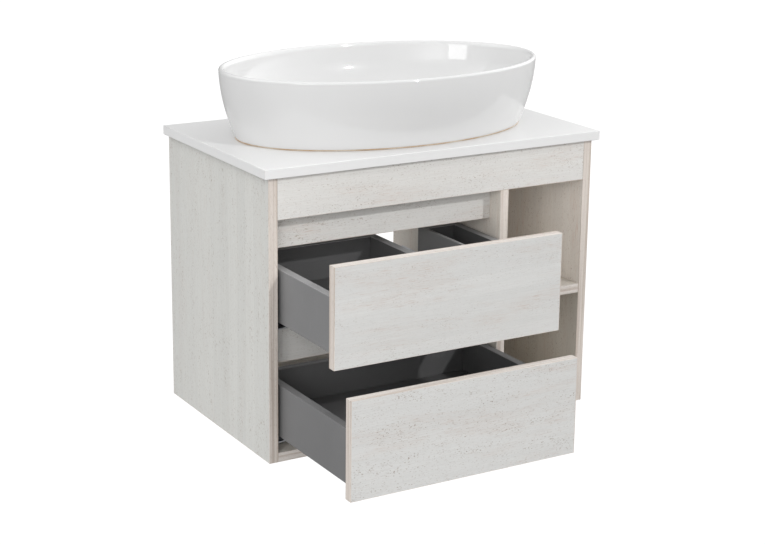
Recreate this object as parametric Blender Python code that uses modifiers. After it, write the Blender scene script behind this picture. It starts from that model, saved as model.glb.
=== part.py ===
"""Wall-hung wash stand: an oval vessel basin on a worktop, over two drawers and an open niche.

Metres, +Z up, +X to the right and +Y towards the wall. The origin is the centre of the hanging
rail's back face, on the wall. Both drawers stand part open, as they do at rest. The builders below
give sizes as distances from the cabinet's left side, front and underside, and place() turns those
into world points.
"""

import math

import bmesh
import bpy
from mathutils import Vector

# Driving dimensions of the cabinet.
WIDTH = 0.630
DEPTH = 0.382
HEIGHT = 0.480
BOARD = 0.016
RAIL_TALL = 0.070
RAIL_CENTRE = HEIGHT - RAIL_TALL / 2
GAP = 0.0003
EDGE = 0.0006

# The drawer bay ends at the divider, and the niche takes the rest.
DIVIDER_LEFT = 0.4424
DIVIDER_DEEP = 0.352
APRON_TALL = 0.070
SHELF_UNDER = 0.205
NICHE_BACK_THICK = 0.008
GRIP_SET_BACK = 0.032
UPPER_GRIP = (0.355, 0.415)
MIDDLE_GRIP = (0.160, 0.219)
STRETCHER_DEEP = 0.080
HANGER_INSET = 0.004
HANGER_WIDE = 0.042
HANGER_TALL = 0.050
HANGER_THICK = 0.0127
HANGER_DROP = 0.010
HANGER_THROAT = (0.3, 0.4, 0.6, 0.7)

# The worktop and the basin.
TOP_SIDE_OVERHANG = 0.010
TOP_FRONT_OVERHANG = 0.009
BASIN_CENTRE = (WIDTH / 2, 0.1898)
RIM_LONG, RIM_WIDE = 0.2957, 0.1918
BASE_LONG, BASE_WIDE = 0.269, 0.1647
BASIN_TALL = 0.1172
BASIN_WALL = 0.010
FLARE_POWER = 1.83
BOWL_POWER = 4.0
BOWL_FLOOR = 0.016
FOOT_WIDE = 0.010
FOOT_RECESS = 0.006
FLOOR_FALL = 0.004
SEAT_DEEP = 0.002
SEAL_THICK = 0.0013
SEAL_WIDE = 0.007
BASIN_SEGMENTS = 64
OUTER_SHARES = (0.0, 0.03, 0.08, 0.16, 0.28, 0.42, 0.58, 0.74, 0.88)
RIM_STEPS = 6
BOWL_SPREADS = (0.995, 0.98, 0.95, 0.90, 0.82, 0.70, 0.52, 0.32)
WORKTOP_TOP = HEIGHT + GAP + BOARD
BASIN_FOOT = WORKTOP_TOP + SEAL_THICK + 2 * GAP

# The waste and the trap, from the basin down to the wall.
DRAIN_RADIUS = 0.0225
DRAIN_BOSS = 0.045
DRAIN_PLAY = 0.0015
WORKTOP_HOLE = 0.030
WASTE_FLANGE = 0.0315
WASTE_OUTER = 0.020
WASTE_BORE = 0.016
WASTE_FOOT = 0.440
WASTE_SEAL = 0.0012
WASTE_SEAL_INSET = 0.002
FLANGE_THICK = 0.0025
LOWER_SEAL = 0.0027
LOWER_SEAL_LAP = 0.006
TAIL_LONG = 0.095
TAIL_IN_WASTE = 0.015
BACKNUT_RADIUS = 0.033
BACKNUT_TALL = 0.012
PLUG_RADIUS = 0.030
PLUG_RIM = 0.001
PLUG_DOME = 0.0035
PLUG_DOME_STEPS = 6
PLUG_STEM = 0.005
PLUG_STEM_LONG = 0.040
PIPE_OUTER = 0.016
PIPE_BORE = 0.014
TRAP_RADIUS = 0.027
TRAP_BORE = 0.0235
TRAP_TOP = 0.418
TRAP_SPLIT = 0.352
TRAP_FOOT = 0.314
TRAP_ROOF = 0.005
TRAP_OVERCUT = 0.010
INLET_CUT_LONG = 0.040
CUP_CHAMFER = 0.006
INLET_NUT_CLEAR = 0.002
CUP_RADIUS = 0.030
STUB_RADIUS = 0.020
STUB_LONG = 0.050
OUTLET_HEIGHT = 0.378
OUTLET_NUT_LONG = 0.018
OUTLET_NUT_LAP = 0.005
PIPE_IN_STUB = 0.015
ROSETTE_RADIUS = 0.029
ROSETTE_THICK = 0.008
ROSETTE_SLOPE = 0.006
ROSETTE_LIP = 0.002

# Drawers. Each is part open at rest, by the distance that its front stands proud of the cabinet.
FRONT_THICK = 0.016
FRONT_TALL = 0.165
FRONT_SIDES = (0.0183, 0.4402)
BOX_SIDES = (0.022, 0.4364)
SIDE_THICK = 0.014
SIDE_TALL = 0.090
SIDE_ABOVE_FRONT_FOOT = 0.023
FLOOR_RECESS = 0.012
FLOOR_THICK = 0.016
BACK_SET_IN = 0.0085
NOTCH = (0.2675, 0.3615)
NOTCH_WALL_LEFT = 0.015
NOTCH_WALL_RIGHT = 0.006
NOTCH_WALL_FRONT = 0.012
NOTCH_FROM_FRONT = 0.1445
DRAWERS = {
    "upper": {"foot": 0.214, "open": 0.1815, "long": 0.300, "notched": True},
    "lower": {"foot": 0.018, "open": 0.2355, "long": 0.316, "notched": False},
}

# Runner sections, measured from the cabinet face inwards and from the drawer side's foot upwards.
RUNNER_LONG = 0.300
RUNNER_START = 0.018
RUNNER_SHEET = 0.0018
RUNNER_WIDE = 0.044
RUNNER_UNDER = -0.015
RUNNER_FLANGE_TOP = -0.001
RUNNER_LIP_TOP = -0.006
MIDDLE_SPAN = (0.026, 0.040)
MIDDLE_UNDER = -0.0127
MIDDLE_TOP = -0.003
LEG_CENTRE = 0.033
LEG_THICK = 0.003
LEG_UNDER = -0.0095
SADDLE_SPAN = (0.021, 0.046)
CLIP_SPAN = (0.048, 0.070)
CLIP_LONG = 0.040
CLIP_FROM_FRONT = 0.004
CLIP_FROM_FOOT = 0.002

# Colour, roughness and metallic value of each finish.
FINISHES = {
    "woodgrain": ((0.66, 0.62, 0.58), 0.55, 0.0),
    "drawer_grey": ((0.10, 0.10, 0.105), 0.60, 0.0),
    "worktop_white": ((0.80, 0.79, 0.77), 0.25, 0.0),
    "ceramic": ((0.85, 0.85, 0.84), 0.06, 0.0),
    "rubber": ((0.04, 0.04, 0.04), 0.80, 0.0),
    "silicone": ((0.60, 0.50, 0.42), 0.60, 0.0),
    "chrome": ((0.80, 0.80, 0.82), 0.08, 1.0),
    "steel": ((0.55, 0.56, 0.58), 0.35, 1.0),
    "plastic": ((0.78, 0.78, 0.76), 0.40, 0.0),
    "clip_plastic": ((0.18, 0.18, 0.19), 0.50, 0.0),
}


def place(across, deep, high):
    """World point at these distances from the cabinet's left side, front and underside."""
    return Vector((across - WIDTH / 2, deep - DEPTH, high - RAIL_CENTRE))


def start_scene():
    """Empties the scene, and returns the collections of the parts and of the cutters."""
    for old in list(bpy.data.objects):
        bpy.data.objects.remove(old, do_unlink=True)
    made = []
    for name in ("wash_stand", "cutters"):
        collection = bpy.data.collections.new(name)
        bpy.context.scene.collection.children.link(collection)
        made.append(collection)
    return made


PARTS, CUTTERS = start_scene()


def paint(obj, finish):
    """Gives the piece a material of its own with this finish."""
    colour, roughness, metallic = FINISHES[finish]
    material = bpy.data.materials.new(obj.name)
    material.use_nodes = True
    shader = material.node_tree.nodes["Principled BSDF"]
    shader.inputs["Base Color"].default_value = (*colour, 1.0)
    shader.inputs["Roughness"].default_value = roughness
    shader.inputs["Metallic"].default_value = metallic
    obj.data.materials.append(material)


def add_part(name, data, centre, finish, parent=None):
    """Links an object at this world point, riding on its parent empty if it has one."""
    obj = bpy.data.objects.new(name, data)
    PARTS.objects.link(obj)
    obj.location = centre
    if parent is not None:
        obj.parent = parent
        obj.location = Vector(centre) - parent.location
    paint(obj, finish)
    return obj


def slide_empty(name, centre):
    """An empty on a joint's axis, which the moving pieces ride on."""
    empty = bpy.data.objects.new(name, None)
    PARTS.objects.link(empty)
    empty.location = centre
    return empty


def box_mesh(name, size):
    """A box of this size about its own centre."""
    mesh = bpy.data.meshes.new(name)
    shape = bmesh.new()
    bmesh.ops.create_cube(shape, size=1.0)
    bmesh.ops.scale(shape, vec=size, verts=shape.verts)
    shape.to_mesh(mesh)
    shape.free()
    return mesh


def soften(obj, width=EDGE):
    """Breaks the sharp edges with one narrow facet."""
    bevel = obj.modifiers.new("edges", "BEVEL")
    bevel.width = width
    bevel.segments = 1
    bevel.limit_method = "ANGLE"
    return obj


def board(name, across, deep, high, finish, parent=None):
    """A rectangular piece between these pairs of distances."""
    low = place(across[0], deep[0], high[0])
    top = place(across[1], deep[1], high[1])
    return soften(add_part(name, box_mesh(name, top - low), (low + top) / 2, finish, parent))


def flat_curve(name, outline, thick):
    """A filled flat outline, thickened about its own plane."""
    curve = bpy.data.curves.new(name, "CURVE")
    curve.dimensions = "2D"
    curve.fill_mode = "BOTH"
    curve.extrude = thick / 2
    spline = curve.splines.new("POLY")
    spline.points.add(len(outline) - 1)
    for point, (first, second) in zip(spline.points, outline):
        point.co = (first, second, 0.0, 1.0)
    spline.use_cyclic_u = True
    return curve


def section(name, direction, outline, span, finish, parent=None):
    """Extrudes an outline one way, from one distance to another.

    Its points are (deep, high) when it runs across, (across, high) when it runs deep, and
    (across, deep) when it runs up.
    """
    turns = {
        "across": ((1, 0, 0), (math.pi / 2, 0.0, math.pi / 2)),
        "deep": ((0, 1, 0), (math.pi / 2, 0.0, 0.0)),
        "up": ((0, 0, 1), (0.0, 0.0, 0.0)),
    }
    along, rotation = turns[direction]
    middle = (span[0] + span[1]) / 2
    curve = flat_curve(name, outline, span[1] - span[0])
    obj = add_part(name, curve, place(*(share * middle for share in along)), finish, parent)
    obj.rotation_euler = rotation
    return obj


def turned(name, profile, centre, finish, parent=None, steps=32):
    """A closed profile of (radius, height) points, turned about the vertical through centre."""
    mesh = bpy.data.meshes.new(name)
    count = len(profile)
    pairs = [(i, (i + 1) % count) for i in range(count)]
    edges = [(i, j) for i, j in pairs if profile[i][0] > 0 or profile[j][0] > 0]
    mesh.from_pydata([(radius, 0.0, height) for radius, height in profile], edges, [])
    obj = add_part(name, mesh, centre, finish, parent)
    screw = obj.modifiers.new("turn", "SCREW")
    screw.steps = steps
    screw.render_steps = steps
    screw.use_merge_vertices = True
    screw.merge_threshold = 0.00001
    return obj


def tube_profile(outer, bore, low, high):
    """The closed section of a plain ring or tube."""
    return [(outer, high), (outer, low), (bore, low), (bore, high)]


def cylinder_mesh(name, radius, length, segments=32):
    """An upright cylinder about its own centre."""
    mesh = bpy.data.meshes.new(name)
    shape = bmesh.new()
    bmesh.ops.create_cone(
        shape, cap_ends=True, segments=segments, radius1=radius, radius2=radius, depth=length
    )
    shape.to_mesh(mesh)
    shape.free()
    return mesh


def boolean_with(obj, name, mesh, centre, tip=(0.0, 0.0, 0.0), operation="DIFFERENCE"):
    """Cuts or joins a hidden shape, which stays in the collection of the cutters."""
    tool = bpy.data.objects.new(name, mesh)
    CUTTERS.objects.link(tool)
    tool.location = centre
    tool.rotation_euler = tip
    tool.hide_render = True
    tool.display_type = "WIRE"
    cut = obj.modifiers.new(name, "BOOLEAN")
    cut.operation = operation
    cut.object = tool
    cut.solver = "EXACT"


def nut(name, outer, bore, axis_start, span, finish, sides, level=False):
    """A nut with flat sides and a round bore, from one distance to another along its axis."""
    along = Vector((0.0, 1.0, 0.0)) if level else Vector((0.0, 0.0, 1.0))
    tip = (math.pi / 2, 0.0, 0.0) if level else (0.0, 0.0, 0.0)
    centre = axis_start + along * (span[0] + span[1]) / 2
    piece = add_part(name, cylinder_mesh(name, outer, span[1] - span[0], sides), centre, finish)
    piece.rotation_euler = tip
    hole = cylinder_mesh(name + "_bore", bore, 2 * (span[1] - span[0]))
    boolean_with(piece, name + "_bore", hole, centre, tip)


def make_carcass():
    """The boards that are glued and dowelled into the cabinet's body."""
    inside = (BOARD + GAP, WIDTH - BOARD - GAP)
    bay = (BOARD + GAP, DIVIDER_LEFT - GAP)
    niche = (DIVIDER_LEFT + BOARD + GAP, WIDTH - BOARD - GAP)
    full = (0.0, DEPTH)
    board("side_panel_left", (0.0, BOARD), full, (0.0, HEIGHT), "woodgrain")
    board("side_panel_right", (WIDTH - BOARD, WIDTH), full, (0.0, HEIGHT), "woodgrain")
    board("bottom_panel", inside, full, (0.0, BOARD), "woodgrain")
    board("apron", inside, (0.0, BOARD), (HEIGHT - APRON_TALL + GAP, HEIGHT), "woodgrain")
    grip = (GRIP_SET_BACK, GRIP_SET_BACK + BOARD)
    board("grip_rail_upper", bay, grip, UPPER_GRIP, "woodgrain")
    board("grip_rail_middle", bay, grip, MIDDLE_GRIP, "woodgrain")
    shelf = (SHELF_UNDER, SHELF_UNDER + BOARD)
    back_face = DIVIDER_DEEP - NICHE_BACK_THICK
    board("niche_shelf", niche, (0.0, back_face - GAP), shelf, "woodgrain")
    board("niche_back", niche, (back_face, DIVIDER_DEEP), (BOARD + GAP, HEIGHT), "woodgrain")
    rail = (DEPTH - BOARD, DEPTH)
    board("hanging_rail", inside, rail, (HEIGHT - RAIL_TALL, HEIGHT), "woodgrain")
    board("lower_back_rail", inside, rail, (BOARD + GAP, BOARD + RAIL_TALL), "woodgrain")
    stretcher = (BOARD + GAP, BOARD + STRETCHER_DEEP)
    board("front_stretcher", bay, stretcher, (HEIGHT - BOARD, HEIGHT), "woodgrain")


def make_divider():
    """The upright between drawers and niche, stepped back behind the apron."""
    under_apron = HEIGHT - APRON_TALL
    outline = [
        (0.0, BOARD + GAP),
        (DIVIDER_DEEP, BOARD + GAP),
        (DIVIDER_DEEP, HEIGHT),
        (BOARD + GAP, HEIGHT),
        (BOARD + GAP, under_apron),
        (0.0, under_apron),
    ]
    section("divider", "across", outline, (DIVIDER_LEFT, DIVIDER_LEFT + BOARD), "woodgrain")


def make_hangers():
    """The two fittings that hook the cabinet onto its wall plates, behind the top corners."""
    front, back = DEPTH - BOARD - HANGER_THICK, DEPTH - BOARD - GAP
    low = HEIGHT - HANGER_DROP - HANGER_TALL
    throat = [low + share * HANGER_TALL for share in HANGER_THROAT]
    throat_deep = front + HANGER_THICK / 2
    outline = [
        (front, low),
        (back, low),
        (back, low + HANGER_TALL),
        (front, low + HANGER_TALL),
        (front, throat[3]),
        (throat_deep, throat[2]),
        (throat_deep, throat[1]),
        (front, throat[0]),
    ]
    left = (BOARD + HANGER_INSET, BOARD + HANGER_INSET + HANGER_WIDE)
    right = (WIDTH - left[1], WIDTH - left[0])
    section("hanger_left", "across", outline, left, "plastic")
    section("hanger_right", "across", outline, right, "plastic")


def make_worktop():
    """The worktop, with the hole that the waste passes through."""
    across = (-TOP_SIDE_OVERHANG, WIDTH + TOP_SIDE_OVERHANG)
    high = (HEIGHT + GAP, WORKTOP_TOP)
    worktop = board("worktop", across, (-TOP_FRONT_OVERHANG, DEPTH), high, "worktop_white")
    hole = cylinder_mesh("worktop_hole", WORKTOP_HOLE, 3 * BOARD)
    boolean_with(worktop, "worktop_hole", hole, place(*BASIN_CENTRE, HEIGHT))


def outer_half_axes(share):
    """Half-axes of the basin's outer wall at this share of its height. It steepens upwards."""
    flare = 1 - (1 - share) ** FLARE_POWER
    return BASE_LONG + (RIM_LONG - BASE_LONG) * flare, BASE_WIDE + (RIM_WIDE - BASE_WIDE) * flare


def outer_rings():
    """Rings up the outer wall, as (half-axis along X, half-axis along Y, height)."""
    rings = []
    for share in OUTER_SHARES:
        rings.append((*outer_half_axes(share), share * BASIN_TALL))
    return rings


def rim_rings():
    """Rings over the half-round rim, from its outer side to its inner side."""
    radius = BASIN_WALL / 2
    rings = []
    for step in range(RIM_STEPS + 1):
        angle = math.pi * step / RIM_STEPS
        inset = radius * (1 - math.cos(angle))
        high = BASIN_TALL - radius * (1 - math.sin(angle))
        rings.append((RIM_LONG - inset, RIM_WIDE - inset, high))
    return rings


def bowl_rings():
    """Rings down the bowl, whose wall curves into a nearly flat floor."""
    rings = []
    for spread in BOWL_SPREADS:
        share = 1 - (1 - spread**BOWL_POWER) ** (1 / BOWL_POWER)
        long, wide = outer_half_axes(share)
        floor = BOWL_FLOOR + FLOOR_FALL * spread
        high = floor + (BASIN_TALL - floor) * share
        rings.append(((long - BASIN_WALL) * spread, (wide - BASIN_WALL) * spread, high))
    return rings


def drain_and_foot_rings():
    """Rings through the drain, over its boss and out to the foot that the basin stands on."""
    seat = WASTE_FLANGE + DRAIN_PLAY
    foot_long, foot_wide = BASE_LONG - FOOT_WIDE, BASE_WIDE - FOOT_WIDE
    return [
        (seat, seat, BOWL_FLOOR),
        (seat, seat, BOWL_FLOOR - SEAT_DEEP),
        (DRAIN_RADIUS, DRAIN_RADIUS, BOWL_FLOOR - SEAT_DEEP),
        (DRAIN_RADIUS, DRAIN_RADIUS, 0.0),
        (DRAIN_BOSS, DRAIN_BOSS, 0.0),
        (DRAIN_BOSS, DRAIN_BOSS, FOOT_RECESS),
        (foot_long, foot_wide, FOOT_RECESS),
        (foot_long, foot_wide, 0.0),
    ]


def lofted(name, rings, centre, finish, segments=BASIN_SEGMENTS):
    """Joins closed elliptical rings in order, and the last one back to the first."""
    shape = bmesh.new()
    loops = []
    for long, wide, high in rings:
        angles = [math.tau * step / segments for step in range(segments)]
        loops.append([shape.verts.new((long * math.cos(a), wide * math.sin(a), high)) for a in angles])
    for index, loop in enumerate(loops):
        onward = loops[(index + 1) % len(loops)]
        for step in range(segments):
            beside = (step + 1) % segments
            shape.faces.new((loop[step], loop[beside], onward[beside], onward[step]))
    bmesh.ops.recalc_face_normals(shape, faces=shape.faces)
    mesh = bpy.data.meshes.new(name)
    shape.to_mesh(mesh)
    shape.free()
    mesh.shade_smooth()
    mesh.set_sharp_from_angle(angle=math.radians(35))
    return add_part(name, mesh, centre, finish)


def make_basin():
    """The ceramic basin, and the bead of sealant under its foot."""
    rings = outer_rings() + rim_rings() + bowl_rings() + drain_and_foot_rings()
    lofted("basin", rings, place(*BASIN_CENTRE, BASIN_FOOT), "ceramic")
    outer = (BASE_LONG - GAP, BASE_WIDE - GAP)
    inner = (BASE_LONG - SEAL_WIDE, BASE_WIDE - SEAL_WIDE)
    bead = [(*outer, 0.0), (*outer, SEAL_THICK), (*inner, SEAL_THICK), (*inner, 0.0)]
    lofted("basin_seal", bead, place(*BASIN_CENTRE, WORKTOP_TOP + GAP), "silicone")


def make_waste():
    """The waste clamped through basin and worktop, with its seals, backnut and tailpiece."""
    seat = BASIN_FOOT + BOWL_FLOOR - SEAT_DEEP
    flange_under = seat + WASTE_SEAL + 2 * GAP
    flange_top = flange_under + FLANGE_THICK
    centre = place(*BASIN_CENTRE, 0.0)
    flange = [
        (WASTE_FLANGE, flange_top),
        (WASTE_FLANGE, flange_under),
        (WASTE_OUTER, flange_under),
        (WASTE_OUTER, WASTE_FOOT),
        (WASTE_BORE, WASTE_FOOT),
        (WASTE_BORE, flange_top),
    ]
    turned("waste_body", flange, centre, "chrome")
    seal_span = (seat + GAP, seat + GAP + WASTE_SEAL)
    upper = tube_profile(WASTE_FLANGE - WASTE_SEAL_INSET, WASTE_OUTER + GAP, *seal_span)
    turned("waste_seal_upper", upper, centre, "rubber")
    seal_foot = HEIGHT - GAP - LOWER_SEAL
    lower_outer = WORKTOP_HOLE + LOWER_SEAL_LAP
    lower = tube_profile(lower_outer, WASTE_OUTER + GAP, seal_foot, HEIGHT - GAP)
    turned("waste_seal_lower", lower, centre, "rubber")
    nut_span = (seal_foot - GAP - BACKNUT_TALL, seal_foot - GAP)
    nut("waste_backnut", BACKNUT_RADIUS, WASTE_OUTER + GAP, centre, nut_span, "steel", 6)
    tail_span = (WASTE_FOOT - TAIL_LONG + TAIL_IN_WASTE, WASTE_FOOT + TAIL_IN_WASTE)
    tail = tube_profile(PIPE_OUTER - 2 * GAP, PIPE_BORE, *tail_span)
    turned("waste_tailpiece", tail, centre, "plastic")
    make_plug(centre, flange_top + GAP)


def make_plug(centre, rest_height):
    """The push plug: its stem runs in the waste, and it rises from the closed position."""
    slide = slide_empty("waste_plug_slide", centre + Vector((0.0, 0.0, rest_height)))
    dome = [
        (PLUG_RADIUS * math.cos(angle), PLUG_RIM + PLUG_DOME * math.sin(angle))
        for angle in spread_angles(PLUG_DOME_STEPS)
    ]
    profile = list(reversed(dome)) + [
        (PLUG_RADIUS, 0.0),
        (PLUG_STEM, 0.0),
        (PLUG_STEM, -PLUG_STEM_LONG),
        (0.0, -PLUG_STEM_LONG),
    ]
    turned("waste_plug", profile, slide.location, "chrome", parent=slide)


def spread_angles(count):
    """Angles from level to upright, in this many steps."""
    return [math.pi / 2 * step / count for step in range(count + 1)]


def make_trap():
    """The short bottle trap, held up between the basin and the upper drawer."""
    centre = place(*BASIN_CENTRE, 0.0)
    body_foot = TRAP_SPLIT + GAP
    body = cylinder_mesh("trap_body", TRAP_RADIUS, TRAP_TOP - body_foot)
    middle = Vector((0.0, 0.0, (TRAP_TOP + body_foot) / 2))
    trap = add_part("trap_body", body, centre + middle, "plastic")
    level = (math.pi / 2, 0.0, 0.0)
    stub_middle = centre + Vector((0.0, STUB_LONG / 2, OUTLET_HEIGHT))
    stub = cylinder_mesh("trap_stub", STUB_RADIUS, STUB_LONG)
    boolean_with(trap, "trap_stub", stub, stub_middle, level, "UNION")
    bore_tall = TRAP_TOP - TRAP_ROOF - body_foot + TRAP_OVERCUT
    bore = cylinder_mesh("trap_bore", TRAP_BORE, bore_tall)
    bore_middle = TRAP_TOP - TRAP_ROOF - bore_tall / 2
    boolean_with(trap, "trap_bore", bore, centre + Vector((0.0, 0.0, bore_middle)))
    inlet = cylinder_mesh("trap_inlet", PIPE_OUTER + GAP, INLET_CUT_LONG)
    boolean_with(trap, "trap_inlet", inlet, centre + Vector((0.0, 0.0, TRAP_TOP)))
    outlet = cylinder_mesh("trap_outlet", PIPE_OUTER + GAP, STUB_LONG)
    outlet_middle = stub_middle + Vector((0.0, TRAP_OVERCUT, 0.0))
    boolean_with(trap, "trap_outlet", outlet, outlet_middle, level)
    cup = [
        (CUP_RADIUS, TRAP_SPLIT),
        (CUP_RADIUS, TRAP_FOOT + CUP_CHAMFER),
        (CUP_RADIUS - CUP_CHAMFER, TRAP_FOOT),
        (0.0, TRAP_FOOT),
        (0.0, TRAP_FOOT + TRAP_ROOF),
        (TRAP_BORE, TRAP_FOOT + TRAP_ROOF),
        (TRAP_BORE, TRAP_SPLIT),
    ]
    turned("trap_cup", cup, centre, "plastic")
    nut_span = (TRAP_TOP + GAP, WASTE_FOOT - INLET_NUT_CLEAR)
    nut("trap_inlet_nut", CUP_RADIUS, PIPE_OUTER + GAP, centre, nut_span, "plastic", 12)
    make_outlet(centre)


def make_outlet(centre):
    """The pipe from the trap to the wall, its nut, and the rosette on the wall."""
    axis_start = centre + Vector((0.0, 0.0, OUTLET_HEIGHT))
    nut_span = (STUB_LONG + GAP, STUB_LONG + GAP + OUTLET_NUT_LONG)
    nut_outer = STUB_RADIUS + OUTLET_NUT_LAP
    nut("trap_outlet_nut", nut_outer, PIPE_OUTER + GAP, axis_start, nut_span, "plastic", 12, True)
    to_wall = DEPTH - BASIN_CENTRE[1]
    pipe = tube_profile(PIPE_OUTER, PIPE_BORE, STUB_LONG - PIPE_IN_STUB, to_wall)
    rosette = [
        (ROSETTE_RADIUS - ROSETTE_SLOPE, to_wall - ROSETTE_THICK),
        (PIPE_OUTER + GAP, to_wall - ROSETTE_THICK),
        (PIPE_OUTER + GAP, to_wall),
        (ROSETTE_RADIUS, to_wall),
        (ROSETTE_RADIUS, to_wall - ROSETTE_LIP),
    ]
    for name, profile, finish in (
        ("outlet_pipe", pipe, "plastic"),
        ("wall_rosette", rosette, "chrome"),
    ):
        piece = turned(name, profile, axis_start, finish)
        piece.rotation_euler = (-math.pi / 2, 0.0, 0.0)


def make_drawer(level):
    """One drawer on its slide empty: front, sides, floor and back, with a notch where it has one."""
    sizes = DRAWERS[level]
    face = -sizes["open"]
    foot = sizes["foot"]
    slide = slide_empty(level + "_drawer_slide", place(WIDTH / 2, face, foot))
    front = (face, face + FRONT_THICK)
    board(level + "_drawer_front", FRONT_SIDES, front, (foot, foot + FRONT_TALL), "woodgrain", slide)
    box_front = face + FRONT_THICK + GAP
    box_back = face + FRONT_THICK + sizes["long"]
    box_foot = foot + SIDE_ABOVE_FRONT_FOOT
    high = (box_foot, box_foot + SIDE_TALL)
    left = (BOX_SIDES[0], BOX_SIDES[0] + SIDE_THICK)
    right = (BOX_SIDES[1] - SIDE_THICK, BOX_SIDES[1])
    deep = (box_front, box_back)
    board(level + "_drawer_side_left", left, deep, high, "drawer_grey", slide)
    board(level + "_drawer_side_right", right, deep, high, "drawer_grey", slide)
    inside = (left[1] + GAP, right[0] - GAP)
    back = (box_back - BACK_SET_IN - SIDE_THICK, box_back - BACK_SET_IN)
    raised = (box_foot + FLOOR_RECESS, box_foot + SIDE_TALL)
    floor = (raised[0], raised[0] + FLOOR_THICK)
    if sizes["notched"]:
        make_notched_inside(level, slide, inside, (box_front, back[0] - GAP), back, raised, floor)
    else:
        floor_deep = (box_front, back[0] - GAP)
        board(level + "_drawer_floor", inside, floor_deep, floor, "drawer_grey", slide)
        board(level + "_drawer_back", inside, back, raised, "drawer_grey", slide)
    for side in ("left", "right"):
        make_clip(level, side, slide, box_front, box_foot)


def make_notched_inside(level, slide, inside, floor_deep, back, raised, floor):
    """The floor, backs and walls around the notch that clears the trap, open at the back."""
    notch_front = -DRAWERS[level]["open"] + NOTCH_FROM_FRONT
    left = (NOTCH[0] - NOTCH_WALL_LEFT, NOTCH[0])
    right = (NOTCH[1], NOTCH[1] + NOTCH_WALL_RIGHT)
    box_back = back[1] + BACK_SET_IN
    step = notch_front - NOTCH_WALL_FRONT - GAP
    outline = [
        (inside[0], floor_deep[0]),
        (inside[1], floor_deep[0]),
        (inside[1], floor_deep[1]),
        (right[1] + GAP, floor_deep[1]),
        (right[1] + GAP, step),
        (left[0] - GAP, step),
        (left[0] - GAP, floor_deep[1]),
        (inside[0], floor_deep[1]),
    ]
    section(level + "_drawer_floor", "up", outline, floor, "drawer_grey", slide)
    prefix = level + "_drawer_"
    board(prefix + "back_left", (inside[0], left[0] - GAP), back, raised, "drawer_grey", slide)
    board(prefix + "back_right", (right[1] + GAP, inside[1]), back, raised, "drawer_grey", slide)
    cross = (notch_front - NOTCH_WALL_FRONT, notch_front)
    wall = (notch_front + GAP, box_back)
    board(prefix + "notch_front", (left[0], right[1]), cross, raised, "drawer_grey", slide)
    board(prefix + "notch_left", left, wall, raised, "drawer_grey", slide)
    board(prefix + "notch_right", right, wall, raised, "drawer_grey", slide)


def from_cabinet_face(side, inward):
    """Distance across the cabinet of a point this far into the drawer bay from one side of it."""
    return BOARD + inward if side == "left" else DIVIDER_LEFT - inward


def make_clip(level, side, slide, box_front, box_foot):
    """The catch under the floor that locks the drawer onto its runner."""
    edges = sorted(from_cabinet_face(side, inward) for inward in CLIP_SPAN)
    deep = (box_front + CLIP_FROM_FRONT, box_front + CLIP_FROM_FRONT + CLIP_LONG)
    high = (box_foot + CLIP_FROM_FOOT, box_foot + FLOOR_RECESS - GAP)
    board(f"{level}_drawer_clip_{side}", edges, deep, high, "clip_plastic", slide)


def runner_sections():
    """The runner's three sections, as (inward, upward) points around a sheet of one thickness."""
    sheet = RUNNER_SHEET
    fixed = [
        (GAP, RUNNER_FLANGE_TOP),
        (GAP, RUNNER_UNDER),
        (RUNNER_WIDE, RUNNER_UNDER),
        (RUNNER_WIDE, RUNNER_LIP_TOP),
        (RUNNER_WIDE - sheet, RUNNER_LIP_TOP),
        (RUNNER_WIDE - sheet, RUNNER_UNDER + sheet),
        (GAP + sheet, RUNNER_UNDER + sheet),
        (GAP + sheet, RUNNER_FLANGE_TOP),
    ]
    near, far = MIDDLE_SPAN
    middle = [
        (near, MIDDLE_TOP),
        (near, MIDDLE_UNDER),
        (far, MIDDLE_UNDER),
        (far, MIDDLE_TOP),
        (far - sheet, MIDDLE_TOP),
        (far - sheet, MIDDLE_UNDER + sheet),
        (near + sheet, MIDDLE_UNDER + sheet),
        (near + sheet, MIDDLE_TOP),
    ]
    under_floor = FLOOR_RECESS - GAP
    saddle_under = under_floor - sheet
    leg = (LEG_CENTRE - LEG_THICK / 2, LEG_CENTRE + LEG_THICK / 2)
    moving = [
        (SADDLE_SPAN[0], under_floor),
        (SADDLE_SPAN[0], saddle_under),
        (leg[0], saddle_under),
        (leg[0], LEG_UNDER),
        (leg[1], LEG_UNDER),
        (leg[1], saddle_under),
        (SADDLE_SPAN[1], saddle_under),
        (SADDLE_SPAN[1], under_floor),
    ]
    return {"cabinet": fixed, "middle": middle, "drawer": moving}


def make_runners(level):
    """Both runners of a drawer: the middle members have moved half as far as the drawer."""
    sizes = DRAWERS[level]
    box_foot = sizes["foot"] + SIDE_ABOVE_FRONT_FOOT
    middle_slide = slide_empty(
        level + "_runner_middle_slide", place(WIDTH / 2, RUNNER_START - sizes["open"] / 2, box_foot)
    )
    drawer_slide = bpy.data.objects[level + "_drawer_slide"]
    members = (
        ("cabinet", 0.0, None),
        ("middle", sizes["open"] / 2, middle_slide),
        ("drawer", sizes["open"], drawer_slide),
    )
    sections = runner_sections()
    for side in ("left", "right"):
        for member, moved, parent in members:
            outline = [
                (from_cabinet_face(side, inward), box_foot + upward)
                for inward, upward in sections[member]
            ]
            deep = (RUNNER_START - moved, RUNNER_START - moved + RUNNER_LONG)
            name = f"{level}_runner_{member}_{side}"
            section(name, "deep", outline, deep, "steel", parent)


make_carcass()
make_divider()
make_hangers()
make_worktop()
make_basin()
make_waste()
make_trap()
for drawer_level in DRAWERS:
    make_drawer(drawer_level)
    make_runners(drawer_level)
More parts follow.
